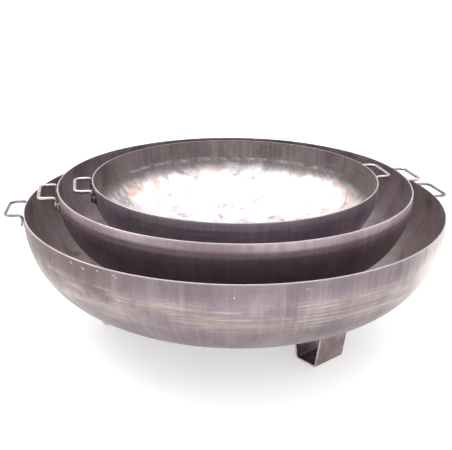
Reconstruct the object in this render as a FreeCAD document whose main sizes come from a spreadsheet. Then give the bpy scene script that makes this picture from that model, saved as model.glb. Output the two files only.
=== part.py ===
"""Three nested steel fire bowls, each with two bar handles and three bent-plate feet.

Row frame: millimetres, +Z up, origin on the ground under the common axis of the bowls.
Azimuths run from -Y, the front, towards +X.
"""
import FreeCAD
import Part
import Sketcher
import math
import os

# Driving dimensions: millimetres, degrees, or a plain ratio where the name says so.
DIMENSIONS = {
    "large_radius": 500,
    "medium_radius": 421,
    "small_radius": 340,
    "large_rim_height": 306,
    "medium_rim_rise": 49.5,
    "small_rim_rise": 13,
    "plate_thickness": 3,
    "flange_ratio": 0.03,
    "knuckle_ratio": 0.40,
    "crown_ratio": 1.80,
    "rim_rounding": 0.6,
    "bar_diameter": 8,
    "handle_span": 103,
    "handle_depth": 39.5,
    "handle_corner_radius": 16,
    "handle_elbow_radius": 9,
    "handle_leg_length": 17,
    "handle_drop": 10,
    "large_handle_left_azimuth": -84,
    "large_handle_right_azimuth": 104,
    "medium_handle_left_azimuth": -80,
    "medium_handle_right_azimuth": 103,
    "small_handle_left_azimuth": -80,
    "small_handle_right_azimuth": 103,
    "foot_width": 88,
    "foot_depth": 64,
    "foot_thickness": 5,
    "foot_bend_radius": 4,
    "foot_flange_length": 130,
    "foot_splay": 9,
    "large_foot_reach": 296,
    "medium_foot_reach": 250,
    "small_foot_reach": 200,
    "foot_1_azimuth": 41.5,
    "foot_2_azimuth": 159,
    "foot_3_azimuth": 275.5,
    "weld_gap": 0.2,
    "rest_gap": 0.3,
    "handle_weld_radius": 2.5,
    "handle_weld_length": 15,
    "handle_weld_offset": 5,
    "handle_weld_stand_off": 1,
    "foot_weld_radius": 3,
    "foot_weld_length": 70,
}

V_AXIS = -2
H_AXIS = -1
ORIGIN = (-1, 1)
START, END, CENTRE = 1, 2, 3
STRAIGHT_DOWN = 1.5 * math.pi


def vector(horizontal, vertical):
    """A point in a sketch."""
    return FreeCAD.Vector(horizontal, vertical, 0)


def circle(centre, radius):
    """A sketch circle."""
    return Part.Circle(centre, FreeCAD.Vector(0, 0, 1), radius)


def arc(centre, radius, start, end):
    """A sketch arc that runs anticlockwise between two angles, in radians."""
    return Part.ArcOfCircle(circle(centre, radius), start, end)


def make_sheet(doc):
    """The spreadsheet that holds every driving dimension under its own alias."""
    sheet = doc.addObject("Spreadsheet::Sheet", "Sizes")
    for row, (alias, value) in enumerate(DIMENSIONS.items(), start=1):
        sheet.set(f"A{row}", alias)
        sheet.set(f"B{row}", str(value))
        sheet.setAlias(f"B{row}", alias)
    doc.recompute()


def make_sizes(doc, name, formulas):
    """A set of sizes that follow from the driving dimensions."""
    sizes = doc.addObject("App::VarSet", name)
    for size, formula in formulas.items():
        sizes.addProperty("App::PropertyFloat", size)
        sizes.setExpression(size, formula)
    doc.recompute()
    return sizes


def bowl_sizes(doc, bowl, below):
    """The dish radii and the heights of one bowl; below is the bowl that it stands in."""
    formulas = {
        "radius": f"Sizes.{bowl}_radius",
        "thickness": "Sizes.plate_thickness",
        "flange": "radius * Sizes.flange_ratio",
        "knuckle": "radius * Sizes.knuckle_ratio",
        "crown": "radius * Sizes.crown_ratio",
        "crown_rise": "sqrt(pow(crown - knuckle; 2) - pow(radius - knuckle; 2)) - flange",
        "bar_stand_off": "Sizes.bar_diameter / 2 + Sizes.weld_gap",
        "handle_seat": "sqrt(pow(radius + bar_stand_off; 2) - pow(Sizes.handle_span / 2; 2))",
    }
    if below is None:
        formulas["rim_height"] = f"Sizes.{bowl}_rim_height"
        formulas["foot_base"] = "0"
    else:
        inside = f"{below.Name}.crown - {below.Name}.thickness - Sizes.rest_gap - foot_bend"
        formulas["foot_bend"] = "Sizes.foot_bend_radius + Sizes.foot_thickness"
        formulas["across"] = f"Sizes.{bowl}_foot_reach + Sizes.foot_depth / 2 - foot_bend"
        formulas["drop"] = f"sqrt(pow({inside}; 2) - pow(across; 2) - pow(Sizes.foot_width / 2; 2))"
        formulas["rim_height"] = f"{below.Name}.rim_height + Sizes.{bowl}_rim_rise"
        formulas["foot_base"] = f"{below.Name}.rim_height + {below.Name}.crown_rise - drop - foot_bend"
    return make_sizes(doc, f"{bowl}_sizes", formulas)


def handle_sizes(doc):
    """The centreline of a handle, from the outside of its grip towards the bowl."""
    formulas = {
        "bar_radius": "Sizes.bar_diameter / 2",
        "level": "bar_radius",
        "bend_radius": "Sizes.handle_corner_radius",
        "flat": "Sizes.handle_span - 2 * bend_radius",
        "elbow": "Sizes.handle_elbow_radius",
        "leg": "Sizes.handle_depth - bend_radius - elbow",
        "splay": "0",
        "half_span": "Sizes.handle_span / 2",
        "arm_end": "level + bend_radius + leg",
        "wall_leg_axis": "arm_end + elbow",
        "wall_leg": "Sizes.handle_leg_length",
    }
    return make_sizes(doc, "handle_sizes", formulas)


def foot_sizes(doc, bowl):
    """The centreline of a foot, and the ball that its flanges are cut to fit."""
    dish = f"{bowl}_sizes"
    formulas = {
        "thickness": "Sizes.foot_thickness",
        "width": "Sizes.foot_width",
        "level": "thickness / 2",
        "bend_radius": "Sizes.foot_bend_radius + level",
        "flat": "Sizes.foot_depth - 2 * (Sizes.foot_bend_radius + thickness)",
        "leg": "Sizes.foot_flange_length",
        "splay": "Sizes.foot_splay",
        "reach": f"Sizes.{bowl}_foot_reach",
        "ball_height": f"{dish}.rim_height + {dish}.crown_rise - {dish}.foot_base",
        "ball_radius": f"{dish}.crown + Sizes.weld_gap",
        "bead_distance": "ball_radius + Sizes.foot_weld_radius / 2",
    }
    for side, sign in (("outer", -1), ("inner", 1)):
        formulas[f"{side}_y"] = f"{sign} * (flat / 2 + Sizes.foot_bend_radius * cos(splay))"
        formulas[f"{side}_z"] = "thickness + Sizes.foot_bend_radius * (1 - sin(splay))"
        formulas[f"{side}_run"] = f"{sign} * sin(splay)"
        formulas[f"{side}_far_y"] = f"reach - {side}_y"
        formulas[f"{side}_far_z"] = f"ball_height - {side}_z"
        formulas[f"{side}_along"] = f"{side}_far_y * {side}_run + {side}_far_z * cos(splay)"
        formulas[f"{side}_away"] = f"{side}_far_y * cos(splay) - {side}_far_z * {side}_run"
        reach_in = f"{side}_along - sqrt(pow(bead_distance; 2) - pow({side}_away; 2))"
        formulas[f"{side}_rise"] = reach_in
        formulas[f"{side}_bead_y"] = f"{side}_y + {side}_rise * {side}_run"
        formulas[f"{side}_bead_z"] = f"{side}_z + {side}_rise * cos(splay)"
    return make_sizes(doc, f"{bowl}_foot_sizes", formulas)


def add_sketch(body, name, role, offset=None):
    """A sketch on one of the body's own origin planes, or parallel to it."""
    sketch = body.newObject("Sketcher::SketchObject", name)
    plane = next(item for item in body.Origin.OriginFeatures if item.Role == role)
    sketch.AttachmentSupport = (plane, [""])
    sketch.MapMode = "FlatFace"
    if offset:
        sketch.setExpression("AttachmentOffset.Base.z", offset)
    return sketch


def add_section(body, name, path):
    """A sketch square to the start of a path."""
    section = body.newObject("Sketcher::SketchObject", name)
    section.AttachmentSupport = [(path, "Edge1")]
    section.MapMode = "NormalToEdge"
    return section


def constrain(sketch, kind, *elements):
    """One geometric constraint for each tuple of elements."""
    for element in elements:
        sketch.addConstraint(Sketcher.Constraint(kind, *element))


def drive(sketch, sizes, name, kind, *elements):
    """A dimension of the sketch that follows the size of the same name."""
    index = sketch.addConstraint(Sketcher.Constraint(kind, *elements, getattr(sizes, name)))
    sketch.renameConstraint(index, name)
    sketch.setExpression(f"Constraints.{name}", f"{sizes.Name}.{name}")


def draw_dish(sketch, sizes):
    """Half the section of a dished bowl: a straight flange, a knuckle and a crown, rim at 0."""
    knuckle_centre = vector(sizes.radius - sizes.knuckle, -sizes.flange)
    crown_centre = vector(0, sizes.crown_rise)
    slope = math.atan2(knuckle_centre.y - crown_centre.y, knuckle_centre.x)
    outer_rim = vector(sizes.radius, 0)
    inner_rim = vector(sizes.radius - sizes.thickness, 0)
    down_flange = vector(0, -sizes.flange)
    knuckles = []
    crowns = []
    for inset in (0, sizes.thickness):
        knuckles.append(arc(knuckle_centre, sizes.knuckle - inset, slope, 0))
        crowns.append(arc(crown_centre, sizes.crown - inset, -math.pi / 2, slope))
    sketch.addGeometry(
        [
            Part.LineSegment(outer_rim, outer_rim + down_flange),
            knuckles[0],
            crowns[0],
            Part.LineSegment(crowns[0].StartPoint, crowns[1].StartPoint),
            crowns[1],
            knuckles[1],
            Part.LineSegment(inner_rim + down_flange, inner_rim),
            Part.LineSegment(inner_rim, outer_rim),
        ]
    )
    constrain(sketch, "Tangent", (0, END, 1, END), (1, START, 2, END))
    constrain(sketch, "Tangent", (4, END, 5, START), (5, END, 6, START))
    constrain(sketch, "Coincident", (2, START, 3, START), (3, END, 4, START))
    constrain(sketch, "Coincident", (6, END, 7, START), (7, END, 0, START))
    constrain(sketch, "Coincident", (1, CENTRE, 5, CENTRE), (2, CENTRE, 4, CENTRE))
    constrain(sketch, "PointOnObject", (2, CENTRE, V_AXIS), (2, START, V_AXIS), (4, START, V_AXIS))
    constrain(sketch, "PointOnObject", (0, START, H_AXIS))
    constrain(sketch, "Vertical", (0,), (6,))
    constrain(sketch, "Horizontal", (7,))
    drive(sketch, sizes, "radius", "DistanceX", *ORIGIN, 0, START)
    drive(sketch, sizes, "flange", "Distance", 0)
    drive(sketch, sizes, "knuckle", "Radius", 1)
    drive(sketch, sizes, "crown", "Radius", 2)
    drive(sketch, sizes, "thickness", "Distance", 7)


def draw_bend(sketch, sizes):
    """A U-shaped centreline: a flat, two bends, and two legs that lean apart by the splay."""
    lean = math.radians(sizes.splay)
    half = sizes.flat / 2
    centres = []
    bend_ends = []
    leg_tops = []
    for side in (-1, 1):
        centre = vector(side * half, sizes.level + sizes.bend_radius)
        outward = vector(side * math.cos(lean), -math.sin(lean))
        along = vector(side * math.sin(lean), math.cos(lean))
        centres.append(centre)
        bend_ends.append(centre + outward * sizes.bend_radius)
        leg_tops.append(bend_ends[-1] + along * sizes.leg)
    sketch.addGeometry(
        [
            Part.LineSegment(leg_tops[0], bend_ends[0]),
            arc(centres[0], sizes.bend_radius, math.pi + lean, STRAIGHT_DOWN),
            Part.LineSegment(vector(-half, sizes.level), vector(half, sizes.level)),
            arc(centres[1], sizes.bend_radius, STRAIGHT_DOWN, 2 * math.pi - lean),
            Part.LineSegment(bend_ends[1], leg_tops[1]),
        ]
    )
    constrain(sketch, "Tangent", (0, END, 1, START), (1, END, 2, START))
    constrain(sketch, "Tangent", (2, END, 3, START), (3, END, 4, START))
    constrain(sketch, "Symmetric", (2, START, 2, END, V_AXIS), (0, START, 4, END, V_AXIS))
    constrain(sketch, "Equal", (1, 3))
    drive(sketch, sizes, "bend_radius", "Radius", 1)
    drive(sketch, sizes, "flat", "Distance", 2)
    drive(sketch, sizes, "level", "DistanceY", *ORIGIN, 2, START)
    drive(sketch, sizes, "leg", "Distance", 4)
    angle = sketch.addConstraint(Sketcher.Constraint("Angle", 4, math.pi / 2 - lean))
    sketch.renameConstraint(angle, "leg_angle")
    sketch.setExpression("Constraints.leg_angle", f"(90 - {sizes.Name}.splay) * 1 deg")


def draw_bar(sketch, sizes, left, up=None):
    """The round section of the handle bar, left of the origin and level with or above it."""
    height = getattr(sizes, up) if up else 0
    sketch.addGeometry(circle(vector(-getattr(sizes, left), height), sizes.bar_radius))
    drive(sketch, sizes, "bar_radius", "Radius", 0)
    drive(sketch, sizes, left, "DistanceX", 0, CENTRE, *ORIGIN)
    if up:
        drive(sketch, sizes, up, "DistanceY", *ORIGIN, 0, CENTRE)
    else:
        constrain(sketch, "PointOnObject", (0, CENTRE, H_AXIS))


def draw_strip(sketch, sizes):
    """The rectangular section of the foot's flat bar, centred on the path."""
    half_width, half_thickness = sizes.width / 2, sizes.thickness / 2
    corners = [
        vector(-half_width, -half_thickness),
        vector(half_width, -half_thickness),
        vector(half_width, half_thickness),
        vector(-half_width, half_thickness),
    ]
    for index, corner in enumerate(corners):
        sketch.addGeometry(Part.LineSegment(corner, corners[(index + 1) % 4]))
    for index in range(4):
        constrain(sketch, "Coincident", (index, END, (index + 1) % 4, START))
    constrain(sketch, "Horizontal", (0,), (2,))
    constrain(sketch, "Vertical", (1,), (3,))
    constrain(sketch, "Symmetric", (0, START, 2, START, *ORIGIN))
    drive(sketch, sizes, "width", "Distance", 0)
    drive(sketch, sizes, "thickness", "Distance", 1)


def draw_half_ball(sketch, sizes):
    """Half the section of the bowl's crown, closed along the bowl's axis."""
    centre = vector(sizes.reach, sizes.ball_height)
    half_circle = arc(centre, sizes.ball_radius, math.pi / 2, STRAIGHT_DOWN)
    sketch.addGeometry(half_circle)
    sketch.addGeometry(Part.LineSegment(half_circle.EndPoint, half_circle.StartPoint))
    constrain(sketch, "Coincident", (0, END, 1, START), (1, END, 0, START))
    constrain(sketch, "PointOnObject", (0, CENTRE, 1))
    constrain(sketch, "Vertical", (1,))
    drive(sketch, sizes, "ball_radius", "Radius", 0)
    drive(sketch, sizes, "reach", "DistanceX", *ORIGIN, 0, CENTRE)
    drive(sketch, sizes, "ball_height", "DistanceY", *ORIGIN, 0, CENTRE)


def place(part, azimuth, distance, height):
    """Stand a part at an azimuth and a distance from the bowls' axis, its +Y facing the axis."""
    part.setExpression("Placement.Base.x", f"({distance}) * sin({azimuth})")
    part.setExpression("Placement.Base.y", f"-({distance}) * cos({azimuth})")
    part.setExpression("Placement.Base.z", height)
    part.setExpression("Placement.Rotation.Angle", azimuth)


def rim_edges(shape):
    """The names of the two circles round the top of the rim."""
    names = []
    for index, edge in enumerate(shape.Edges, start=1):
        level = abs(edge.BoundBox.ZMin) + abs(edge.BoundBox.ZMax)
        if level < 0.01:
            names.append(f"Edge{index}")
    return names


def make_shell(doc, bowl, sizes):
    """A bowl pressed from flat plate, with the sharp edges of its rim broken."""
    body = doc.addObject("PartDesign::Body", f"{bowl}_bowl_shell")
    sketch = add_sketch(body, f"{bowl}_dish_section", "XZ_Plane")
    draw_dish(sketch, sizes)
    dish = body.newObject("PartDesign::Revolution", f"{bowl}_dish")
    dish.Profile = sketch
    dish.ReferenceAxis = (sketch, ["V_Axis"])
    dish.Angle = 360
    doc.recompute()
    rim = body.newObject("PartDesign::Fillet", f"{bowl}_rim")
    rim.Base = (dish, rim_edges(dish.Shape))
    rim.setExpression("Radius", "Sizes.rim_rounding")
    body.setExpression("Placement.Base.z", f"{sizes.Name}.rim_height")
    return body


def make_handle(doc, name, sizes):
    """A bent round bar: grip, two arms, and two legs that turn down along the bowl's wall."""
    body = doc.addObject("PartDesign::Body", name)
    path = add_sketch(body, f"{name}_path", "XY_Plane")
    draw_bend(path, sizes)
    doc.recompute()
    section = add_section(body, f"{name}_section", path)
    section.addGeometry(circle(vector(0, 0), sizes.bar_radius))
    constrain(section, "Coincident", (0, CENTRE, *ORIGIN))
    drive(section, sizes, "bar_radius", "Radius", 0)
    grip = body.newObject("PartDesign::AdditivePipe", f"{name}_grip")
    grip.Profile = section
    grip.Spine = path
    elbow_section = add_sketch(body, f"{name}_elbow_section", "XZ_Plane", f"-{sizes.Name}.arm_end")
    draw_bar(elbow_section, sizes, "half_span")
    axis = elbow_section.addGeometry(Part.LineSegment(vector(-1, -sizes.elbow), vector(1, -sizes.elbow)))
    elbow_section.toggleConstruction(axis)
    constrain(elbow_section, "Symmetric", (axis, START, axis, END, V_AXIS))
    drive(elbow_section, sizes, "elbow", "DistanceY", axis, START, *ORIGIN)
    elbow = body.newObject("PartDesign::Revolution", f"{name}_elbow")
    elbow.Profile = elbow_section
    elbow.ReferenceAxis = (elbow_section, ["Axis0"])
    elbow.Angle = 90
    elbow.Reversed = True
    leg_section = add_sketch(body, f"{name}_leg_section", "XY_Plane", f"-{sizes.Name}.elbow")
    draw_bar(leg_section, sizes, "half_span", "wall_leg_axis")
    leg = body.newObject("PartDesign::Pad", f"{name}_leg")
    leg.Profile = leg_section
    leg.Reversed = True
    leg.setExpression("Length", f"{sizes.Name}.wall_leg")
    doc.recompute()
    other = body.newObject("PartDesign::Mirrored", f"{name}_other_leg")
    other.Originals = [elbow, leg]
    other.MirrorPlane = (path, ["V_Axis"])
    body.Tip = other
    return body


def make_foot(doc, name, sizes):
    """A flat bar bent to a U, its two flanges cut to the curve of the bowl above."""
    body = doc.addObject("PartDesign::Body", name)
    path = add_sketch(body, f"{name}_path", "YZ_Plane")
    draw_bend(path, sizes)
    doc.recompute()
    section = add_section(body, f"{name}_section", path)
    draw_strip(section, sizes)
    strip = body.newObject("PartDesign::AdditivePipe", f"{name}_strip")
    strip.Profile = section
    strip.Spine = path
    ball = add_sketch(body, f"{name}_ball", "YZ_Plane")
    draw_half_ball(ball, sizes)
    doc.recompute()
    cope = body.newObject("PartDesign::Groove", f"{name}_cope")
    cope.Profile = ball
    cope.ReferenceAxis = (ball, ["Edge2"])
    cope.Angle = 360
    return body


def make_bead(doc, name, radius, length, x, y, z, axis, turn):
    """One weld bead: a short rod placed by formulas and turned about an axis."""
    bead = doc.addObject("Part::Cylinder", name)
    bead.Placement = FreeCAD.Placement(FreeCAD.Vector(), FreeCAD.Rotation(axis, turn))
    bead.setExpression("Radius", radius)
    bead.setExpression("Height", length)
    bead.setExpression("Placement.Base.x", x)
    bead.setExpression("Placement.Base.y", y)
    bead.setExpression("Placement.Base.z", z)
    return bead


def make_handle_welds(doc, name, bowl, sizes):
    """Upright beads on both sides of each leg of a handle, where it meets the wall."""
    beads = []
    wall = f"({bowl.Name}.radius + Sizes.handle_weld_stand_off)"
    axis_y = f"({bowl.Name}.handle_seat + {sizes.Name}.wall_leg_axis)"
    for leg_side in (-1, 1):
        for bead_side in (-1, 1):
            x = f"({leg_side} * {sizes.Name}.half_span + {bead_side} * Sizes.handle_weld_offset)"
            y = f"{axis_y} - sqrt(pow({wall}; 2) - pow({x}; 2))"
            z = f"-{sizes.Name}.elbow - {sizes.Name}.wall_leg"
            bead_name = f"{name}_bead_{len(beads) + 1}"
            size = ("Sizes.handle_weld_radius", "Sizes.handle_weld_length")
            upright = FreeCAD.Vector(0, 0, 1)
            beads.append(make_bead(doc, bead_name, *size, x, y, z, upright, 0))
    return gather(doc, name, beads)


def make_foot_welds(doc, name, sizes):
    """A bead along the inner side of each flange of a foot, where it meets the bowl."""
    beads = []
    for side in ("outer", "inner"):
        x = "-Sizes.foot_weld_length / 2"
        y = f"{sizes.Name}.{side}_bead_y"
        z = f"{sizes.Name}.{side}_bead_z"
        size = ("Sizes.foot_weld_radius", "Sizes.foot_weld_length")
        sideways = FreeCAD.Vector(0, 1, 0)
        beads.append(make_bead(doc, f"{name}_{side}", *size, x, y, z, sideways, 90))
    return gather(doc, name, beads)


def gather(doc, name, pieces):
    """A group of separate solids that share one node."""
    group = doc.addObject("Part::Compound", name)
    group.Links = pieces
    return group


def make_bowl(doc, bowl, below, handles):
    """One bowl with its handles, its feet and their welds; returns its sizes and its nodes."""
    sizes = bowl_sizes(doc, bowl, below)
    feet = foot_sizes(doc, bowl)
    nodes = [make_shell(doc, bowl, sizes)]
    handle_distance = f"{sizes.Name}.handle_seat + {handles.Name}.wall_leg_axis"
    handle_height = f"{sizes.Name}.rim_height - Sizes.handle_drop"
    for side in ("left", "right"):
        name = f"{bowl}_handle_{side}"
        pieces = [make_handle(doc, name, handles)]
        pieces.append(make_handle_welds(doc, f"{name}_welds", sizes, handles))
        for piece in pieces:
            place(piece, f"Sizes.{name}_azimuth", handle_distance, handle_height)
        nodes += pieces
    for number in (1, 2, 3):
        name = f"{bowl}_foot_{number}"
        pieces = [make_foot(doc, name, feet), make_foot_welds(doc, f"{name}_welds", feet)]
        azimuth = f"Sizes.foot_{number}_azimuth"
        for piece in pieces:
            place(piece, azimuth, f"{feet.Name}.reach", f"{sizes.Name}.foot_base")
        nodes += pieces
    return sizes, nodes


def check(doc, nodes):
    """Stop if any object failed to compute or any node has no sound solid."""
    for item in doc.Objects:
        if "Invalid" in item.State or "Error" in item.State:
            raise RuntimeError(f"{item.Name} failed: {item.State}")
    for node in nodes:
        if node.Shape.isNull() or not node.Shape.isValid() or not node.Shape.Solids:
            raise RuntimeError(f"{node.Name} has no valid solid")


def main():
    doc = FreeCAD.newDocument("FireBowls")
    make_sheet(doc)
    handles = handle_sizes(doc)
    nodes = []
    below = None
    for bowl in ("large", "medium", "small"):
        below, bowl_nodes = make_bowl(doc, bowl, below, handles)
        nodes += bowl_nodes
    doc.recompute()
    check(doc, nodes)
    os.makedirs("parts", exist_ok=True)
    for node in nodes:
        node.Label = node.Name
        node.Shape.exportStep(f"parts/{node.Label}.step")
    print(f"{len(nodes)} nodes written")


main()
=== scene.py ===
"""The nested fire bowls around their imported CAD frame, on a pale floor in soft studio light."""
import math
import random
import bmesh
import bpy
from mathutils import Matrix, Vector, noise


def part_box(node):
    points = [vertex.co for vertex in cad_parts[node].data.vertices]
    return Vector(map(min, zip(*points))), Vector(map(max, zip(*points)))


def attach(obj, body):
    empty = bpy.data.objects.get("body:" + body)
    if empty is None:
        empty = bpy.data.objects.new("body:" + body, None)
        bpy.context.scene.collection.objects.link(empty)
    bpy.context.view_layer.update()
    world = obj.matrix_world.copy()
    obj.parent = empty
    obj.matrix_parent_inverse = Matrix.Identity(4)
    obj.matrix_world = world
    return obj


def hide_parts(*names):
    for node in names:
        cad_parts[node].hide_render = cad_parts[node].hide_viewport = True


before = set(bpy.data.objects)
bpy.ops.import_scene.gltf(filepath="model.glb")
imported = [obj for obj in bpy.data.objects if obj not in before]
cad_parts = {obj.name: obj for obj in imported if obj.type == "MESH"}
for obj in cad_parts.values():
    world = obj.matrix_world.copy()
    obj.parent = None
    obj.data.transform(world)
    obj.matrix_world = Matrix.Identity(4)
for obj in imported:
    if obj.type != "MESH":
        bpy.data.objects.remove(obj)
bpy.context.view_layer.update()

# The design's proportions, as in the CAD: shares of a bowl's own rim radius.
FLANGE, KNUCKLE, CROWN = 0.03, 0.40, 1.80

# Sizes in metres.
MM = 0.001
PLATE = 3 * MM
RIM_ROUNDING = 0.6 * MM
BAR_RADIUS, BAR_CHAMFER = 4 * MM, 0.9 * MM
HANDLE_SPAN, HANDLE_DEPTH = 103 * MM, 39.5 * MM
HANDLE_CORNER, HANDLE_ELBOW = 16 * MM, 9 * MM
HANDLE_LEG, HANDLE_DROP = 17 * MM, 10 * MM
WELD_GAP = 0.2 * MM
FOOT_WIDTH, FOOT_DEPTH = 88 * MM, 64 * MM
FOOT_PLATE, FOOT_BEND, FOOT_CHAMFER = 5 * MM, 4 * MM, 0.6 * MM
FOOT_SPLAY = math.radians(9)
FOOT_BEAD = 70 * MM

# Degrees round from the front towards +X.
HANDLE_TURNS = {
    "large": {"left": -84, "right": 104},
    "medium": {"left": -80, "right": 103},
    "small": {"left": -80, "right": 103},
}
FOOT_TURNS = {1: 41.5, 2: 159, 3: 275.5}
FOOT_REACH = {"large": 296 * MM, "medium": 250 * MM, "small": 200 * MM}

# Steps round a shell.
AROUND = 256
# Material slots of a shell.
OUTSIDE_ZONE, INSIDE_ZONE, EDGE_ZONE = 0, 1, 2

# The stage; the camera is 20 degrees above level, its place counted from the large rim.
FLOOR_SIZE, FLOOR_COLOR, FLOOR_GLOW = 60, (0.82, 0.82, 0.82), 0.48
CAMERA_PITCH, CAMERA_ROLL, CAMERA_LENS = math.radians(20.17), math.radians(0.58), 63.72
CAMERA_X, CAMERA_Y, CAMERA_RISE = -0.0205, -1.8472, 0.6122

# Colours of marks on the steel, and of painted light and shade on it.
HEAT_STRAW, HEAT_BLUE, HEAT_BROWN = (0.40, 0.27, 0.16), (0.13, 0.13, 0.22), (0.16, 0.09, 0.06)
# Painted shade: the first colour darkens the wall towards -X, the second the wall just under the
# rim.
PAINTED_SIDE_SHADE, PAINTED_RIM_SHADE = (0.10, 0.062, 0.055), (0.10, 0.08, 0.085)
RUST, DARK_SPECK = (0.33, 0.13, 0.045), (0.16, 0.10, 0.07)
# The first colour here is partly weld browning, partly painted shade on the handles' legs.
BAR_BROWN_AND_SHADE, BAR_RUST, FOOT_RUST = (0.20, 0.12, 0.09), (0.34, 0.18, 0.10), (0.30, 0.13, 0.09)
WELD_BROWN = (0.30, 0.19, 0.12)
# The first colour here is painted light on the +X side of the wall.
PAINTED_SIDE_LIGHT, CHIP, BURNISHED = (0.62, 0.57, 0.54), (0.72, 0.64, 0.62), (0.50, 0.44, 0.46)

random.seed(7)


class Bowl:
    """The measures of one bowl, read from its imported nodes."""

    def __init__(self, name):
        low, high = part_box(f"{name}_bowl_shell")
        turns = HANDLE_TURNS[name]
        self.handle_azimuths = {side: math.radians(turn) for side, turn in turns.items()}
        self.name = name
        self.body = f"{name}_bowl"
        self.radius = (high.x - low.x) / 2
        self.rim = high.z
        self.flange = FLANGE * self.radius
        self.knuckle = KNUCKLE * self.radius
        self.crown = CROWN * self.radius
        rise = math.sqrt((self.crown - self.knuckle) ** 2 - (self.radius - self.knuckle) ** 2)
        self.crown_height = self.rim + rise - self.flange
        self.slope = math.asin((self.radius - self.knuckle) / (self.crown - self.knuckle))
        self.knuckle_end = self.crown_height - self.crown * math.cos(self.slope)
        seat = (self.radius + BAR_RADIUS + WELD_GAP) ** 2 - (HANDLE_SPAN / 2) ** 2
        self.handle_distance = math.sqrt(seat) + HANDLE_DEPTH + BAR_RADIUS
        self.handle_height = self.rim - HANDLE_DROP
        self.foot_reach = FOOT_REACH[name]
        self.foot_base = min(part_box(f"{name}_foot_{number}")[0].z for number in FOOT_TURNS)


def toward(azimuth):
    """The level direction of an azimuth, from the front (-Y) towards +X."""
    return Vector((math.sin(azimuth), -math.cos(azimuth), 0))


def turned(azimuth, distance, height):
    """The frame of a piece at an azimuth: its +Y faces the bowls' axis."""
    spot = toward(azimuth) * distance + Vector((0, 0, height))
    return Matrix.Translation(spot) @ Matrix.Rotation(azimuth, 4, "Z")


def mesh_of(name, grid):
    """A bmesh turned into a named mesh, its faces all pointing out."""
    bmesh.ops.recalc_face_normals(grid, faces=grid.faces)
    data = bpy.data.meshes.new(name)
    grid.to_mesh(data)
    grid.free()
    data.shade_smooth()
    return data


def piece(name, data, bowl, slot, nodes, *materials):
    """A mesh as a piece on its bowl, with its materials, in place of its CAD nodes."""
    for material in materials:
        data.materials.append(material)
    made = bpy.data.objects.new(name, data)
    bpy.context.scene.collection.objects.link(made)
    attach(made, bowl.body)
    if nodes:
        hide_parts(*nodes)
    return made


# --- Finishes ---------------------------------------------------------------------------------

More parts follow.
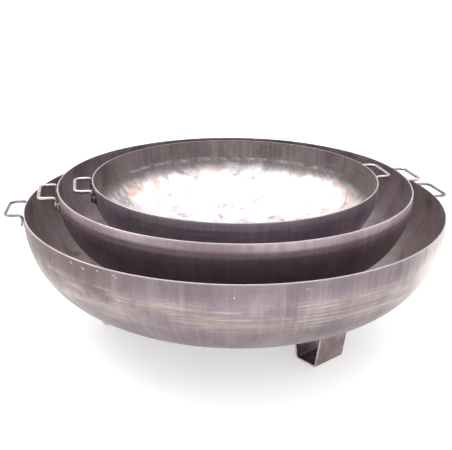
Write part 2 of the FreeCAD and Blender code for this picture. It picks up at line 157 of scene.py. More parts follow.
class Paint:
    """A steel finish put together from shader nodes, in the piece's own coordinates."""

    def __init__(self, name, metallic=1.0):
        self.material = bpy.data.materials.new(name)
        self.material.use_nodes = True
        self.nodes = self.material.node_tree.nodes
        self.links = self.material.node_tree.links
        self.shader = self.nodes["Principled BSDF"]
        self.shader.inputs["Metallic"].default_value = metallic
        self.place = self.nodes.new("ShaderNodeTexCoord").outputs["Object"]
        self.x, self.y, self.z = self.split(self.place)

    def feed(self, socket, value):
        """Links a socket to a node's output, or sets it to a plain value."""
        if isinstance(value, bpy.types.NodeSocket):
            self.links.new(value, socket)
        elif isinstance(value, tuple) and len(value) == 3 and socket.type == "RGBA":
            socket.default_value = (*value, 1)
        else:
            socket.default_value = value

    def split(self, vector):
        node = self.nodes.new("ShaderNodeSeparateXYZ")
        self.feed(node.inputs[0], vector)
        return node.outputs[0], node.outputs[1], node.outputs[2]

    def join(self, x, y, z):
        node = self.nodes.new("ShaderNodeCombineXYZ")
        for socket, value in zip(node.inputs, (x, y, z)):
            self.feed(socket, value)
        return node.outputs[0]

    def math(self, operation, a, b=0.0):
        node = self.nodes.new("ShaderNodeMath")
        node.operation = operation
        self.feed(node.inputs[0], a)
        self.feed(node.inputs[1], b)
        return node.outputs[0]

    def times(self, a, b):
        return self.math("MULTIPLY", a, b)

    def vector(self, operation, a, b):
        """Vector arithmetic; the factor of SCALE has a socket of its own."""
        node = self.nodes.new("ShaderNodeVectorMath")
        node.operation = operation
        self.feed(node.inputs[0], a)
        self.feed(node.inputs[3] if operation == "SCALE" else node.inputs[1], b)
        return node.outputs[1] if operation == "DISTANCE" else node.outputs[0]

    def around(self, turns, rise):
        """Coordinates that run round the bowls' axis and up it, each at its own scale."""
        level = self.nodes.new("ShaderNodeVectorMath")
        level.operation = "NORMALIZE"
        self.feed(level.inputs[0], self.join(self.x, self.y, 0.0))
        flat = self.vector("SCALE", level.outputs[0], float(turns))
        return self.vector("ADD", flat, self.join(0.0, 0.0, self.times(self.z, float(rise))))

    def noise(self, where, scale=1.0, detail=3.0, rough=0.5, warp=0.0):
        """Cloudy noise between 0 and 1, mostly near 0.5."""
        node = self.nodes.new("ShaderNodeTexNoise")
        self.feed(node.inputs["Vector"], where)
        node.inputs["Scale"].default_value = scale
        node.inputs["Detail"].default_value = detail
        node.inputs["Roughness"].default_value = rough
        node.inputs["Distortion"].default_value = warp
        return node.outputs["Fac"]

    def span(self, value, start, end, low=0.0, high=1.0):
        """A smooth step of a value from one level to another."""
        node = self.nodes.new("ShaderNodeMapRange")
        node.interpolation_type = "SMOOTHSTEP"
        for socket, number in zip(node.inputs, (value, start, end, low, high)):
            self.feed(socket, number)
        return node.outputs[0]

    def mix(self, share, a, b):
        """A colour mixed from a and b: a at share 0, b at share 1."""
        node = self.nodes.new("ShaderNodeMix")
        node.data_type = "RGBA"
        color_a, color_b, result = node.inputs[6], node.inputs[7], node.outputs[2]
        self.feed(node.inputs[0], share)
        self.feed(color_a, a)
        self.feed(color_b, b)
        return result

    def dots(self, scale, size, share):
        """Scattered round spots: cells of a grid, with a spot in a share of them."""
        node = self.nodes.new("ShaderNodeTexVoronoi")
        wobble = self.times(self.noise(self.place, 300.0, 2.0), 3 * MM)
        shifted = self.vector("ADD", self.place, self.join(wobble, 0.0, 0.0))
        self.feed(node.inputs["Vector"], shifted)
        node.inputs["Scale"].default_value = scale
        near = self.span(node.outputs["Distance"], size, size * 0.6)
        picked = self.span(self.split(node.outputs["Color"])[0], 1 - share, 1 - share + 0.02)
        return self.times(near, picked)

    def bump(self, height, strength, distance):
        node = self.nodes.new("ShaderNodeBump")
        node.inputs["Strength"].default_value = strength
        node.inputs["Distance"].default_value = distance
        self.feed(node.inputs["Height"], height)
        self.feed(self.shader.inputs["Normal"], node.outputs["Normal"])

    def finish(self, color, roughness):
        self.feed(self.shader.inputs["Base Color"], color)
        self.feed(self.shader.inputs["Roughness"], roughness)
        return self.material


def weighted(paint, *terms):
    """The sum of (value, weight) pairs."""
    total = 0.0
    for value, weight in terms:
        total = paint.math("ADD", paint.times(value, weight), total)
    return total


def brighter(color, factor):
    """A colour made lighter, each part at most 1."""
    return tuple(min(1, part * factor) for part in color)


def weld_heat(paint, color, bowl, strength):
    """Temper colours on the plate around the handles' four legs, out to 46 mm from each."""
    nearest = 1.0
    at_handle = HANDLE_DEPTH + BAR_RADIUS
    for azimuth in bowl.handle_azimuths.values():
        handle = turned(azimuth, bowl.handle_distance, bowl.handle_height)
        for side in (-1, 1):
            leg = Vector((side * HANDLE_SPAN / 2, at_handle, -HANDLE_ELBOW - HANDLE_LEG / 2))
            away = paint.vector("DISTANCE", paint.place, tuple(handle @ leg))
            nearest = paint.math("MINIMUM", nearest, away)
    ragged = paint.math("ADD", nearest, paint.times(paint.noise(paint.place, 60.0), 14 * MM))
    straw = paint.span(ragged, 46 * MM, 34 * MM, 0.0, 0.45 * strength)
    blue = paint.span(ragged, 34 * MM, 26 * MM, 0.0, 0.6 * strength)
    brown = paint.span(ragged, 26 * MM, 19 * MM, 0.0, 0.75 * strength)
    color = paint.mix(straw, color, HEAT_STRAW)
    color = paint.mix(blue, color, HEAT_BLUE)
    return paint.mix(brown, color, HEAT_BROWN)


def painted_light_and_shade(paint, color, depth, blotch, streak, painted_side_light_and_shade, collar_shade):
    """Painted light and shade over a wall: painted shade towards -X and just under the rim, painted
    light at +X.
    """
    sideways = weighted(paint, (paint.x, 1.0), (blotch, 0.12))
    # Painted shade on the -X side, strongest near the rim.
    left = paint.span(sideways, 0.0, -0.42, 0.0, painted_side_light_and_shade)
    upper = paint.span(depth, 110 * MM, 30 * MM, 0.35, 1.0)
    color = paint.mix(paint.times(left, upper), color, PAINTED_SIDE_SHADE)
    # Painted light on the +X side.
    right = paint.span(sideways, 0.38, 0.50, 0.0, painted_side_light_and_shade)
    color = paint.mix(right, color, PAINTED_SIDE_LIGHT)
    # Painted shade just under the rim, fading out 58 mm down.
    uneven = weighted(paint, (depth, 1.0), (streak, 24 * MM))
    return paint.mix(paint.span(uneven, 58 * MM, 26 * MM, 0.0, collar_shade), color, PAINTED_RIM_SHADE)


def scuff_and_highlight_bands(paint, bowl, depth):
    """Where the wall is scuffed, with a painted highlight band over the same place: fine broken
    lines round it between the flange and the knuckle.
    """
    start = bowl.flange * 2.4
    end = bowl.knuckle * 0.5
    below_start = paint.span(depth, start, start + 18 * MM)
    above_end = paint.span(depth, end + 30 * MM, end)
    lines = paint.noise(paint.around(3.2, 210), 1.0, 6.0, 0.68, 0.25)
    ring = paint.span(lines, 0.40, 0.70, 0.15, 1.0)
    patch = paint.span(paint.noise(paint.around(7, 22), 1.0, 3.0), 0.34, 0.58)
    return paint.times(paint.times(below_start, above_end), paint.times(ring, patch))


def rust_marks(paint, depth, amount):
    """Rust: drips down from the rim, and scattered specks."""
    drip = paint.span(paint.noise(paint.around(36, 6), 1.0, 3.0, 0.6), 0.655, 0.72)
    drip = paint.times(drip, paint.span(depth, 45 * MM, 6 * MM))
    speck = paint.dots(75.0, 0.18, 0.05)
    return paint.times(paint.math("MAXIMUM", drip, speck), amount)


def paint_outside(bowl, deep, pale, tint, scuff_and_highlight_color, scuff_and_highlight_amount, rust, painted_side_light_and_shade, collar_shade):
    """Mill scale on the outside of a dish: streaks, painted side light and shade, scuffed bands
    that also carry a painted highlight, scratches, chips and drips.
    """
    paint = Paint(f"{bowl.name}_outside")
    depth = paint.math("SUBTRACT", bowl.rim, paint.z)
    blotch = paint.noise(paint.place, 6.0, 5.0, 0.6, 0.6)
    streak = paint.noise(paint.around(46, 5), 1.0, 5.0, 0.6)
    line = paint.noise(paint.around(210, 9), 1.0, 3.0, 0.6)
    grain = paint.noise(paint.place, 420.0, 3.0, 0.6)
    tone = weighted(paint, (blotch, 0.50), (streak, 0.25), (line, 0.11), (grain, 0.14))
    color = paint.mix(paint.span(tone, 0.38, 0.62), deep, pale)
    hue = paint.span(paint.noise(paint.around(9, 14), 1.0, 4.0), 0.45, 0.66, 0.0, 0.55)
    color = paint.mix(hue, color, tint)
    # Painted light and shade at the sides and under the rim.
    color = painted_light_and_shade(paint, color, depth, blotch, streak, painted_side_light_and_shade, collar_shade)

    # Scuffed bands: real scuffing, partly painted as a brighter highlight band.
    scuff_and_highlight = scuff_and_highlight_bands(paint, bowl, depth)
    color = paint.mix(paint.times(scuff_and_highlight, scuff_and_highlight_amount), color, scuff_and_highlight_color)
    scribble = paint.span(paint.noise(paint.around(120, 260), 1.0, 2.0, 0.5, 2.5), 0.60, 0.68)
    scribble = paint.times(paint.times(scribble, scuff_and_highlight), scuff_and_highlight_amount)
    color = paint.mix(scribble, color, brighter(scuff_and_highlight_color, 1.35))
    scratch = paint.span(paint.noise(paint.around(380, 14), 1.0, 1.0), 0.73, 0.77, 0.0, 0.5)
    hair = paint.span(paint.noise(paint.around(10, 900), 1.0, 1.0), 0.72, 0.76, 0.0, 0.4)
    color = paint.mix(paint.math("MAXIMUM", scratch, hair), color, brighter(pale, 1.5))

    rusty = rust_marks(paint, depth, rust)
    color = paint.mix(rusty, color, RUST)
    chip = paint.dots(48.0, 0.085, 0.16)
    color = paint.mix(paint.times(chip, 0.8), color, CHIP)
    burnish = paint.span(depth, 3.2 * MM, 1.2 * MM, 0.0, 0.55)
    color = paint.mix(burnish, color, BURNISHED)
    color = weld_heat(paint, color, bowl, 1.0)

    relief = weighted(
        paint, (grain, 0.35), (line, 0.12), (blotch, 0.9), (scuff_and_highlight, 0.25), (chip, -0.5))
    paint.bump(relief, 0.35, 0.5 * MM)
    rough = paint.span(tone, 0.35, 0.65, 0.46, 0.36)
    rough = paint.math("SUBTRACT", rough, paint.times(scuff_and_highlight, 0.06))
    rough = paint.math("ADD", rough, paint.times(rusty, 0.3))
    return paint.finish(color, rough)


def painted_fold_glint(paint, height, streak):
    """A thin broken painted glint round the back of the knuckle at a height."""
    away = paint.math("ABSOLUTE", paint.math("SUBTRACT", paint.z, height))
    thin = paint.span(weighted(paint, (away, 1.0), (streak, 12 * MM)), 12.5 * MM, 7.5 * MM)
    broken = paint.span(paint.noise(paint.around(9, 60), 1.0, 5.0, 0.75), 0.44, 0.66, 0.0, 0.34)
    at_back = paint.span(paint.y, 0.10, 0.25)
    return paint.times(thin, paint.times(broken, at_back))


def paint_inside(
        bowl, wall_deep, wall_pale, floor_deep, floor_pale, stain, staining, floor_climb):
    """The inside of a dish: a streaked wall over a smeared, stained floor, with a painted glint
    round the back.
    """
    paint = Paint(f"{bowl.name}_inside")
    blotch = paint.noise(paint.place, 9.0, 6.0, 0.62, 0.8)
    streak = paint.noise(paint.around(30, 3), 1.0, 5.0, 0.62)
    line = paint.noise(paint.around(160, 6), 1.0, 3.0, 0.6)
    grain = paint.noise(paint.place, 420.0, 3.0, 0.6)
    tone = weighted(paint, (blotch, 0.46), (streak, 0.28), (line, 0.10), (grain, 0.16))
    wall = paint.mix(paint.span(tone, 0.39, 0.61), wall_deep, wall_pale)

    smear = paint.noise(paint.place, 13.0, 6.0, 0.66, 1.2)
    cloud = paint.noise(paint.place, 5.0, 4.0, 0.6, 0.5)
    patchy = weighted(paint, (smear, 0.55), (cloud, 0.35), (grain, 0.10))
    floor = paint.mix(paint.span(patchy, 0.38, 0.54), floor_deep, floor_pale)
    blots = paint.noise(paint.place, 11.0, 5.0, 0.6, 1.4)
    stained = paint.span(blots, 0.52, 0.66, 0.0, staining)
    floor = paint.mix(stained, floor, stain)

    ragged = weighted(paint, (paint.z, 1.0), (blotch, 70 * MM), (streak, 10 * MM))
    rise = bowl.rim - bowl.knuckle_end
    low = bowl.knuckle_end + 40 * MM + rise * floor_climb
    color = paint.mix(paint.span(ragged, low, low + rise * 0.30), floor, wall)
    # Painted highlight: a pale glint line round the back of the knuckle.
    painted_glint = painted_fold_glint(paint, bowl.knuckle_end + rise * 0.62, streak)
    color = paint.mix(painted_glint, color, floor_pale)
    scratch = paint.span(paint.noise(paint.place, 90.0, 1.0, 0.5, 6.0), 0.69, 0.72, 0.0, 0.35)
    color = paint.mix(scratch, color, brighter(floor_pale, 1.5))
    speck = paint.dots(60.0, 0.16, 0.12)
    color = paint.mix(paint.times(speck, 0.6), color, DARK_SPECK)
    color = weld_heat(paint, color, bowl, 0.35)

    relief = weighted(paint, (grain, 0.4), (line, 0.1), (smear, 0.6), (blotch, 0.9))
    paint.bump(relief, 0.4, 0.6 * MM)
    rough = paint.span(patchy, 0.40, 0.60, 0.52, 0.36)
    return paint.finish(color, paint.math("ADD", rough, paint.times(stained, 0.15)))


def paint_edge():
    """Cut plate edge: finely grooved across, brighter in front and darker behind."""
    paint = Paint("cut_edge")
    line = paint.noise(paint.around(900, 40), 1.0, 2.0)
    blotch = paint.noise(paint.place, 24.0, 4.0)
    tone = weighted(paint, (line, 0.45), (blotch, 0.55))
    deep, pale, dull = (0.46, 0.41, 0.42), (0.74, 0.68, 0.70), (0.17, 0.14, 0.145)
    color = paint.mix(paint.span(tone, 0.36, 0.62), deep, pale)
    # Darker towards the back of the bowls.
    color = paint.mix(paint.span(paint.y, -0.05, 0.22, 0.0, 0.75), color, dull)
    paint.bump(line, 0.3, 0.2 * MM)
    return paint.finish(color, paint.span(blotch, 0.35, 0.65, 0.36, 0.24))


def paint_bar(bowl, deep, pale):
    """Round bar: worn on the grip, and darker down the legs, partly browned by welding and partly
    painted shade.
    """
    paint = Paint(f"{bowl.name}_bar")
    blotch = paint.noise(paint.place, 55.0, 4.0, 0.6)
    grain = paint.noise(paint.place, 700.0, 2.0)
    tone = weighted(paint, (blotch, 0.7), (grain, 0.3))
    color = paint.mix(paint.span(tone, 0.36, 0.62), deep, pale)
    leg_top = bowl.handle_height - HANDLE_ELBOW
    ragged = weighted(paint, (paint.z, 1.0), (blotch, 12 * MM))
    # Darker down the legs: partly weld browning, partly painted shade.
    brown = paint.span(ragged, leg_top + 4 * MM, leg_top - 8 * MM, 0.0, 0.75)
    color = paint.mix(brown, color, BAR_BROWN_AND_SHADE)
    rust = paint.span(paint.noise(paint.place, 140.0, 4.0, 0.7), 0.60, 0.70, 0.0, 0.5)
    color = paint.mix(rust, color, BAR_RUST)
    paint.bump(tone, 0.35, 0.3 * MM)
    return paint.finish(color, paint.span(tone, 0.35, 0.65, 0.40, 0.26))


def paint_foot():
    """Flat bar with its scale on, scraped and a little rusty."""
    paint = Paint("foot_plate")
    blotch = paint.noise(paint.place, 22.0, 5.0, 0.62, 0.7)
    line = paint.noise(paint.place, 260.0, 3.0, 0.6)
    tone = weighted(paint, (blotch, 0.65), (line, 0.35))
    deep, pale = (0.21, 0.14, 0.145), (0.36, 0.285, 0.295)
    color = paint.mix(paint.span(tone, 0.36, 0.64), deep, pale)
    rust = paint.span(paint.noise(paint.place, 48.0, 5.0, 0.7), 0.56, 0.70, 0.0, 0.55)
    color = paint.mix(rust, color, FOOT_RUST)
    paint.bump(tone, 0.4, 0.4 * MM)
    return paint.finish(color, paint.span(tone, 0.35, 0.65, 0.50, 0.38))


def paint_weld():
    """Weld metal: grey, with brown and blue from the heat."""
    paint = Paint("weld_metal")
    blotch = paint.noise(paint.place, 90.0, 4.0, 0.65)
    heat = paint.noise(paint.place, 40.0, 3.0)
    deep, pale = (0.42, 0.34, 0.31), (0.72, 0.63, 0.57)
    color = paint.mix(paint.span(blotch, 0.36, 0.62), deep, pale)
    color = paint.mix(paint.span(heat, 0.52, 0.62, 0.0, 0.6), color, WELD_BROWN)
    paint.bump(paint.noise(paint.place, 500.0, 3.0), 0.5, 0.4 * MM)
    return paint.finish(color, paint.span(blotch, 0.35, 0.65, 0.45, 0.3))


# --- Bowl shells ------------------------------------------------------------------------------

def dish_side(bowl, inset, crown_steps=34, knuckle_steps=60, flange_steps=5):
    """One side of the dish's section from the axis to just under the rim, as (radius, height)."""
    points = []
    reach = bowl.crown - inset
    for step in range(crown_steps + 1):
        angle = bowl.slope * step / crown_steps
        points.append((reach * math.sin(angle), bowl.crown_height - reach * math.cos(angle)))
    reach = bowl.knuckle - inset
    level = bowl.rim - bowl.flange
    for step in range(1, knuckle_steps + 1):
        angle = bowl.slope + (math.pi / 2 - bowl.slope) * step / knuckle_steps
        radius = bowl.radius - bowl.knuckle + reach * math.sin(angle)
        points.append((radius, level - reach * math.cos(angle)))
    for step in range(1, flange_steps + 1):
        climb = (bowl.flange - RIM_ROUNDING) * step / flange_steps
        points.append((bowl.radius - inset, level + climb))
    return points


def rim_arc(bowl, edge, side, steps=3):
    """The broken edge of the rim, from the wall to the top face."""
    points = []
    for step in range(1, steps + 1):
        angle = math.pi / 2 * step / steps
        across = edge - side * RIM_ROUNDING * (1 - math.cos(angle))
        points.append((across, bowl.rim - RIM_ROUNDING * (1 - math.sin(angle))))
    return points


def out_of_true(bowl, radius, height, outward):
    """A point of the pressed dish: slow waves, shallow dents and faint pressing rings."""
    share = radius / bowl.radius
    seed = Vector((0, 0, bowl.radius * 40))
    probe = outward * radius + Vector((0, 0, height))
    push = noise.noise(probe * 5 + seed) * 0.7 + noise.noise(probe * 17 + seed) * 0.22
    depth = bowl.rim - height
    ring_zone = math.exp(-((depth - bowl.flange * 2.1) / (0.09 * bowl.knuckle)) ** 2)
    ring = math.sin(2 * math.pi * depth / (15 * MM)) * ring_zone
    push += ring * 0.22 * (0.5 + noise.noise(outward * 4 + seed))
    near_rim = max(0, 1 - depth / (50 * MM))
    lift = noise.noise(outward * 2.3 + seed) * 0.5 * near_rim
    slope = min(1, share * share * 1.1)
    level = outward * (radius + push * MM * slope)
    return level + Vector((0, 0, height + (lift - push * (1 - slope)) * MM))


def lathe(bowl, section, zone_of):
    """A bmesh of a section turned round the axis, its two ends on it; zones are material slots."""
    grid = bmesh.new()
    rings = []
    for radius, height in section[1:-1]:
        ring = []
        for step in range(AROUND):
            outward = toward(2 * math.pi * step / AROUND)
            ring.append(grid.verts.new(out_of_true(bowl, radius, height, outward)))
        rings.append(ring)
    for row, (lower, upper) in enumerate(zip(rings, rings[1:]), start=1):
        for step in range(AROUND):
            after = (step + 1) % AROUND
            face = grid.faces.new((lower[step], lower[after], upper[after], upper[step]))
            face.material_index = zone_of(row)
    ends = (0, section[0], rings[0]), (len(rings), section[-1], rings[-1])
    for row, (_, height), ring in ends:
        centre = grid.verts.new(out_of_true(bowl, 0, height, Vector((0, 0, 0))))
        for step in range(AROUND):
            face = grid.faces.new((centre, ring[step], ring[(step + 1) % AROUND]))
            face.material_index = zone_of(row)
    return grid


def make_shell(bowl, outside_paint, inside_paint, edge_paint):
    """The dished shell as one closed skin: outside, rim and inside."""
    outside = dish_side(bowl, 0)
    inside = dish_side(bowl, PLATE)
    outer_edge = rim_arc(bowl, bowl.radius, 1)
    inner_edge = rim_arc(bowl, bowl.radius - PLATE, -1)
    section = outside + outer_edge + inner_edge[::-1] + inside[::-1]
    rim_start = len(outside) - 1
    rim_end = rim_start + len(outer_edge) + len(inner_edge)

    def zone_of(row):
        if row < rim_start:
            return OUTSIDE_ZONE
        return EDGE_ZONE if row <= rim_end else INSIDE_ZONE

    name = f"{bowl.name}_shell"
    data = mesh_of(name, lathe(bowl, section, zone_of))
    nodes = [f"{bowl.name}_bowl_shell"]
    slot = f"{bowl.name}_bowl_steel"
    return piece(name, data, bowl, slot, nodes, outside_paint, inside_paint, edge_paint)


# --- Bars and beads ---------------------------------------------------------------------------

def arc(centre, across, up, radius, start, end, steps):
    """Points on an arc in the plane of two directions."""
    points = []
    for step in range(steps + 1):
        angle = start + (end - start) * step / steps
        points.append(centre + across * radius * math.cos(angle) + up * radius * math.sin(angle))
    return points


def handle_path():
    """The bar's centreline in the handle's own frame, from one wall leg to the other."""
    half = HANDLE_SPAN / 2
    wall = BAR_RADIUS + HANDLE_DEPTH
    x, y, z = Vector((1, 0, 0)), Vector((0, 1, 0)), Vector((0, 0, 1))
    leg_shares = (1, 0.66, 0.33)
    right = [Vector((half, wall, -HANDLE_ELBOW - HANDLE_LEG * share)) for share in leg_shares]
    elbow = Vector((half, wall - HANDLE_ELBOW, -HANDLE_ELBOW))
    right += arc(elbow, y, z, HANDLE_ELBOW, 0, math.pi / 2, 8)
    corner = Vector((half - HANDLE_CORNER, BAR_RADIUS + HANDLE_CORNER, 0))
    right += arc(corner, x, y, HANDLE_CORNER, 0, -math.pi / 2, 12)
    left = [Vector((-point.x, point.y, point.z)) for point in reversed(right)]
    middle = [Vector((half * share, BAR_RADIUS, 0)) for share in (0.4, 0.13, -0.13, -0.4)]
    return right + middle + left


def add_tube(grid, path, radius, sides):
    """A round bar along a path, its ends closed; radius is a function of the share of the path."""
    rings = []
    normal = (path[1] - path[0]).orthogonal()
    for index, point in enumerate(path):
        along = (path[min(len(path) - 1, index + 1)] - path[max(0, index - 1)]).normalized()
        normal = (normal - along * normal.dot(along)).normalized()
        side = along.cross(normal)
        size = radius(index / (len(path) - 1))
        ring = []
        for step in range(sides):
            angle = 2 * math.pi * step / sides
            out = normal * math.cos(angle) + side * math.sin(angle)
            ring.append(grid.verts.new(point + out * size))
        rings.append(ring)
    for lower, upper in zip(rings, rings[1:]):
        for step in range(sides):
            after = (step + 1) % sides
            grid.faces.new((lower[step], lower[after], upper[after], upper[step]))
    grid.faces.new(rings[0][::-1])
    grid.faces.new(rings[-1])


def add_bead(grid, start, end, radius, pitch=3.2 * MM):
    """A weld bead between two points: overlapping ripples, tapered at both ends."""
    length = (end - start).length
    steps = max(12, round(length / (0.8 * MM)))
    phase = random.uniform(0, 1)

    def size(share):
        ripple = 1 + 0.10 * math.sin(2 * math.pi * (share * length / pitch + phase))
        taper = min(1, 0.35 + 5 * min(share, 1 - share))
        return radius * ripple * taper

    drift = [Vector([random.uniform(-0.25, 0.25) * MM for _ in range(3)]) for _ in range(5)]
    path = []
    for step in range(steps + 1):
        share = step / steps
        reached = share * (len(drift) - 1)
        knot = min(int(reached), len(drift) - 2)
        wander = drift[knot].lerp(drift[knot + 1], reached - knot)
        path.append(start.lerp(end, share) + wander)
    add_tube(grid, path, size, sides=12)


def make_handle(bowl, side, bar_paint):
    """One bent bar handle, its cut leg ends broken."""
    grid = bmesh.new()
    path = handle_path()
    near_start = path[0].lerp(path[1], 0.12)
    near_end = path[-1].lerp(path[-2], 0.12)
    path = [path[0], near_start] + path[1:-1] + [near_end, path[-1]]

    def radius(share):
        return BAR_RADIUS - (BAR_CHAMFER if share in (0, 1) else 0)

    add_tube(grid, path, radius, sides=24)
    name = f"{bowl.name}_handle_{side}"
    data = mesh_of(f"{name}_bar", grid)
    data.transform(turned(bowl.handle_azimuths[side], bowl.handle_distance, bowl.handle_height))
    return piece(f"{name}_bar", data, bowl, "bar_steel", [name], bar_paint)


def make_handle_welds(bowl, side, weld_paint):
    """Two beads up each leg, in the corners between the bar and the wall, and one under its end."""
    grid = bmesh.new()
    wall_reach = bowl.radius + 1 * MM
    leg_foot = -HANDLE_ELBOW - HANDLE_LEG
    beside = 5 * MM
    for leg in (-1, 1):
        for offset in (-beside, beside):
            x = leg * HANDLE_SPAN / 2 + offset
            y = bowl.handle_distance - math.sqrt(wall_reach ** 2 - x ** 2)
            low = Vector((x, y, leg_foot - 0.5 * MM))
            high = Vector((x, y, leg_foot + 15 * MM))
            add_bead(grid, low, high, 2.5 * MM)
        y = bowl.handle_distance - math.sqrt(wall_reach ** 2 - (HANDLE_SPAN / 2) ** 2)
        left = Vector((leg * HANDLE_SPAN / 2 - beside, y + 0.8 * MM, leg_foot - 1.2 * MM))
        add_bead(grid, left, left + Vector((2 * beside, 0, 0)), 2.2 * MM)
    name = f"{bowl.name}_handle_{side}"
    data = mesh_of(f"{name}_beads", grid)
    data.transform(turned(bowl.handle_azimuths[side], bowl.handle_distance, bowl.handle_height))
    return piece(f"{name}_beads", data, bowl, "weld_steel", [f"{name}_welds"], weld_paint)


# --- Feet -------------------------------------------------------------------------------------

def foot_ball(bowl):
    """The dish's outer ball as a foot sees it: its centre in the foot's frame, and its radius."""
    return Vector((0, bowl.foot_reach, bowl.crown_height - bowl.foot_base)), bowl.crown + WELD_GAP


def up_to_ball(start, along, ball):
    """Where a line from a point first meets the ball."""
    centre, radius = ball
    offset = start - centre
    half = offset.dot(along)
    return start + along * (-half - math.sqrt(half * half - offset.dot(offset) + radius * radius))


def foot_section(inset, x, ball):
    """The bent flat bar's section at one place across it: outer face (inset 0) or inner face."""
    flat = FOOT_DEPTH / 2 - FOOT_PLATE - FOOT_BEND
    bend = FOOT_PLATE + FOOT_BEND
    bend_steps = 8
    turn = math.pi / 2 - FOOT_SPLAY
    points = []
    for side in (-1, 1):
        half = []
        for step in range(bend_steps + 1):
            angle = turn * step / bend_steps
            y = flat + (bend - inset) * math.sin(angle)
            half.append(Vector((x, side * y, bend - (bend - inset) * math.cos(angle))))
        along = Vector((0, side * math.cos(turn), math.sin(turn)))
        top = up_to_ball(half[-1], along, ball)
        half += [half[-1].lerp(top, share) for share in (0.33, 0.66, 1)]
        points += half[::-1] if side < 0 else half
    return points


def make_foot(bowl, number, plate_paint, edge_paint):
    """One foot: flat bar bent to a U, cut to the dish, its edges broken."""
    ball = foot_ball(bowl)
    grid = bmesh.new()
    columns = []
    across = 12
    for step in range(across + 1):
        x = FOOT_WIDTH * (step / across - 0.5)
        faces = [foot_section(inset, x, ball) for inset in (0, FOOT_PLATE)]
        columns.append([[grid.verts.new(point) for point in face] for face in faces])
    last = len(columns[0][0]) - 1
    for before, after in zip(columns, columns[1:]):
        for face in (0, 1):
            near, far = before[face], after[face]
            for row in range(last):
                grid.faces.new((near[row], far[row], far[row + 1], near[row + 1]))
        for row in (0, last):
            corners = (before[0][row], after[0][row], after[1][row], before[1][row])
            grid.faces.new(corners).material_index = 1
    for column in (columns[0], columns[-1]):
        for row in range(last):
            corners = (column[0][row], column[0][row + 1], column[1][row + 1], column[1][row])
            grid.faces.new(corners).material_index = 1
    bmesh.ops.recalc_face_normals(grid, faces=grid.faces)
    sharp = [edge for edge in grid.edges if edge.calc_face_angle(0) > math.radians(50)]
    bmesh.ops.bevel(
        grid, geom=sharp, offset=FOOT_CHAMFER, segments=2, profile=0.5, affect="EDGES")
    name = f"{bowl.name}_foot_{number}"
    data = mesh_of(f"{name}_bar", grid)
    data.transform(turned(math.radians(FOOT_TURNS[number]), bowl.foot_reach, bowl.foot_base))
    return piece(f"{name}_bar", data, bowl, "foot_steel", [name], plate_paint, edge_paint)


def make_foot_welds(bowl, number, weld_paint):
    """A bead along the inside of each flange, where it meets the dish."""
    ball = foot_ball(bowl)
    grid = bmesh.new()
    for top, inward in ((0, 1), (-1, -1)):
        ends = []
        for x in (-FOOT_BEAD / 2, FOOT_BEAD / 2):
            corner = foot_section(FOOT_PLATE, x, ball)[top]
            ends.append(corner + Vector((0, inward * 1.2 * MM, -1.2 * MM)))
        add_bead(grid, ends[0], ends[1], 2.9 * MM, 4.5 * MM)
    name = f"{bowl.name}_foot_{number}"
    data = mesh_of(f"{name}_beads", grid)
    data.transform(turned(math.radians(FOOT_TURNS[number]), bowl.foot_reach, bowl.foot_base))
    return piece(f"{name}_beads", data, bowl, "weld_steel", [f"{name}_welds"], weld_paint)


# --- Spatter ----------------------------------------------------------------------------------

def on_wall(bowl, azimuth, depth):
    """A point of a bowl's outer wall so far below its rim, and the way out from there."""
    below = max(0, depth - bowl.flange)
    drop = math.asin(below / bowl.knuckle)
    radius = bowl.radius - bowl.knuckle + bowl.knuckle * math.cos(drop)
    out = toward(azimuth) * math.cos(drop) - Vector((0, 0, math.sin(drop)))
    return toward(azimuth) * radius + Vector((0, 0, bowl.rim - depth)), out


def add_droplet(grid, spot, out, size):
    """A flattened drop of weld metal stuck to the wall."""
    side = out.orthogonal().normalized()
    frame_of = Matrix((side, out.cross(side), out)).transposed().to_4x4()
    squashed = Matrix.Diagonal((1, random.uniform(0.7, 1), 0.4, 1))
    place = Matrix.Translation(spot) @ frame_of @ squashed
    bmesh.ops.create_icosphere(grid, subdivisions=2, radius=size, matrix=place)


def make_spatter(bowl, flecks, weld_paint):
    """Weld spatter round the handles' legs, and the few bigger flecks on the front wall."""
    grid = bmesh.new()
    droplets_a_leg, droplets_a_fleck = 9, 3
    shallowest, usual, deepest = 4 * MM, 34 * MM, 80 * MM
    for azimuth in bowl.handle_azimuths.values():
        for leg in (-1, 1):
            centre = azimuth + leg * HANDLE_SPAN / 2 / bowl.radius
            for _ in range(droplets_a_leg):
                turn = centre + random.gauss(0, 14 * MM) / bowl.radius
                depth = min(deepest, max(shallowest, usual + random.gauss(0, 12 * MM)))
                spot, out = on_wall(bowl, turn, depth)
                add_droplet(grid, spot, out, random.uniform(0.5, 1.3) * MM)
    for azimuth, depth, size in flecks:
        for _ in range(droplets_a_fleck):
            turn = math.radians(azimuth + random.gauss(0, 0.35))
            spot, out = on_wall(bowl, turn, (depth + random.gauss(0, 1.5)) * MM)
            add_droplet(grid, spot, out, size * random.uniform(0.45, 1) * MM)
    data = mesh_of(f"{bowl.name}_spatter", grid)
    return piece(f"{bowl.name}_spatter", data, bowl, "weld_steel", [], weld_paint)


# --- Stage ------------------------------------------------------------------------------------

def add_floor():
    """A plain pale floor, glowing a little like a photographer's light table."""
    half = FLOOR_SIZE / 2
    corners = [(-half, -half, 0), (half, -half, 0), (half, half, 0), (-half, half, 0)]
    data = bpy.data.meshes.new("floor")
    data.from_pydata(corners, [], [(0, 1, 2, 3)])
    paint = Paint("floor", metallic=0.0)
    paint.shader.inputs["Emission Color"].default_value = (1, 1, 1, 1)
    paint.shader.inputs["Emission Strength"].default_value = FLOOR_GLOW
    data.materials.append(paint.finish(FLOOR_COLOR, 0.9))
    floor = bpy.data.objects.new("floor", data)
    bpy.context.scene.collection.objects.link(floor)


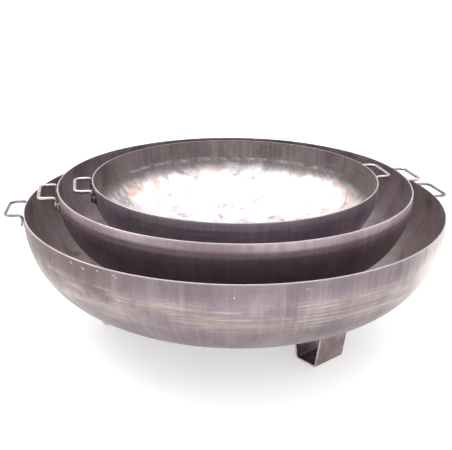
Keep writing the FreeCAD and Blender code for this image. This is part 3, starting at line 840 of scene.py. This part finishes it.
def add_light(name, spot, target, width, height, power):
    """A softbox facing a target."""
    data = bpy.data.lights.new(name, "AREA")
    data.shape = "RECTANGLE"
    data.size = width
    data.size_y = height
    data.energy = power
    light = bpy.data.objects.new(name, data)
    light.location = spot
    light.rotation_euler = (Vector(target) - Vector(spot)).to_track_quat("-Z", "Y").to_euler()
    bpy.context.scene.collection.objects.link(light)


def add_world(strength):
    """Even white light from all round."""
    world = bpy.data.worlds.new("studio")
    world.use_nodes = True
    background = world.node_tree.nodes["Background"]
    background.inputs["Color"].default_value = (1, 1, 1, 1)
    background.inputs["Strength"].default_value = strength
    bpy.context.scene.world = world


def add_camera(rim):
    """The viewing angle: 20 degrees down, from nearly two metres in front of the axis."""
    forward = Vector((0, math.cos(CAMERA_PITCH), -math.sin(CAMERA_PITCH)))
    level = Vector((1, 0, 0))
    raised = Vector((0, math.sin(CAMERA_PITCH), math.cos(CAMERA_PITCH)))
    right = level * math.cos(CAMERA_ROLL) + raised * math.sin(CAMERA_ROLL)
    up = raised * math.cos(CAMERA_ROLL) - level * math.sin(CAMERA_ROLL)
    data = bpy.data.cameras.new("camera")
    data.sensor_width = 36
    data.lens = CAMERA_LENS
    camera = bpy.data.objects.new("camera", data)
    turn = Matrix((right, up, -forward)).transposed().to_4x4()
    camera.matrix_world = Matrix.Translation((CAMERA_X, CAMERA_Y, rim + CAMERA_RISE)) @ turn
    bpy.context.scene.collection.objects.link(camera)
    bpy.context.scene.camera = camera


# --- The object -------------------------------------------------------------------------------

large, medium, small = Bowl("large"), Bowl("medium"), Bowl("small")

# The last two numbers of each outside set its painted side light and shade and its painted shade
# under the rim; the scuff colour and amount also paint a highlight band.
OUTSIDES = {
    "large": dict(
        deep=(0.195, 0.15, 0.165), pale=(0.31, 0.26, 0.268), tint=(0.225, 0.175, 0.222),
        scuff_and_highlight_color=(0.50, 0.435, 0.375), scuff_and_highlight_amount=0.7, rust=0.75, painted_side_light_and_shade=0.9, collar_shade=0.30),
    "medium": dict(
        deep=(0.36, 0.268, 0.295), pale=(0.54, 0.45, 0.475), tint=(0.37, 0.255, 0.285),
        scuff_and_highlight_color=(0.58, 0.48, 0.48), scuff_and_highlight_amount=0.35, rust=0.7, painted_side_light_and_shade=0.1, collar_shade=0.0),
    "small": dict(
        deep=(0.44, 0.38, 0.44), pale=(0.73, 0.65, 0.72), tint=(0.42, 0.36, 0.52),
        scuff_and_highlight_color=(0.72, 0.66, 0.70), scuff_and_highlight_amount=0.3, rust=0.35, painted_side_light_and_shade=0.0, collar_shade=0.0),
}
INSIDES = {
    "large": dict(
        wall_deep=(0.44, 0.37, 0.38), wall_pale=(0.60, 0.52, 0.53),
        floor_deep=(0.30, 0.25, 0.255), floor_pale=(0.54, 0.47, 0.475),
        stain=(0.40, 0.30, 0.26), staining=0.5, floor_climb=0.08),
    "medium": dict(
        wall_deep=(0.31, 0.25, 0.26), wall_pale=(0.50, 0.42, 0.435),
        floor_deep=(0.42, 0.36, 0.385), floor_pale=(0.60, 0.53, 0.555),
        stain=(0.44, 0.33, 0.28), staining=0.5, floor_climb=0.14),
    "small": dict(
        wall_deep=(0.15, 0.12, 0.125), wall_pale=(0.26, 0.22, 0.225),
        floor_deep=(0.38, 0.35, 0.345), floor_pale=(0.97, 0.92, 0.93),
        stain=(0.78, 0.53, 0.42), staining=0.8, floor_climb=0.28),
}
BARS = {
    "large": dict(deep=(0.17, 0.165, 0.155), pale=(0.34, 0.33, 0.315)),
    "medium": dict(deep=(0.42, 0.36, 0.365), pale=(0.68, 0.61, 0.62)),
    "small": dict(deep=(0.42, 0.36, 0.365), pale=(0.68, 0.61, 0.62)),
}
# Bigger flecks on the front walls: degrees round from the front, millimetres below the rim,
# and radius in millimetres.
FLECKS = {
    "large": [
        (-41, 12, 1.9), (-37.5, 14, 2.2), (-32, 10, 2.0),
        (-28, 12, 2.2), (-27.5, 65, 1.6), (16, 16, 1.6)],
    "medium": [(14, 22, 1.2), (-30, 18, 1.2)],
    "small": [(-35, 30, 1.6), (-14, 7, 2.0), (-10, 28, 1.5), (21, 24, 2.0)],
}

edge_paint, foot_paint, weld_paint = paint_edge(), paint_foot(), paint_weld()
for bowl in (large, medium, small):
    outside = paint_outside(bowl, **OUTSIDES[bowl.name])
    inside = paint_inside(bowl, **INSIDES[bowl.name])
    bar_paint = paint_bar(bowl, **BARS[bowl.name])
    make_shell(bowl, outside, inside, edge_paint)
    for side in bowl.handle_azimuths:
        make_handle(bowl, side, bar_paint)
        make_handle_welds(bowl, side, weld_paint)
    for number in FOOT_TURNS:
        make_foot(bowl, number, foot_paint, edge_paint)
        make_foot_welds(bowl, number, weld_paint)
    make_spatter(bowl, FLECKS[bowl.name], weld_paint)

add_floor()
add_world(1.0)
# Each light: its place, what it faces, width, height and watts.
add_light("key", (-2.0, 0.4, 2.4), (0.3, 0, 0.2), 1.4, 1.4, 22)
add_light("front", (-0.2, -2.4, 2.7), (-0.1, -1.1, 0), 2.5, 1.2, 5)
add_light("overhead", (0.0, 0.3, 2.7), (0, 0.3, 0), 5.0, 2.3, 62)
add_camera(large.rim)
bpy.context.scene.view_settings.view_transform = "Standard"
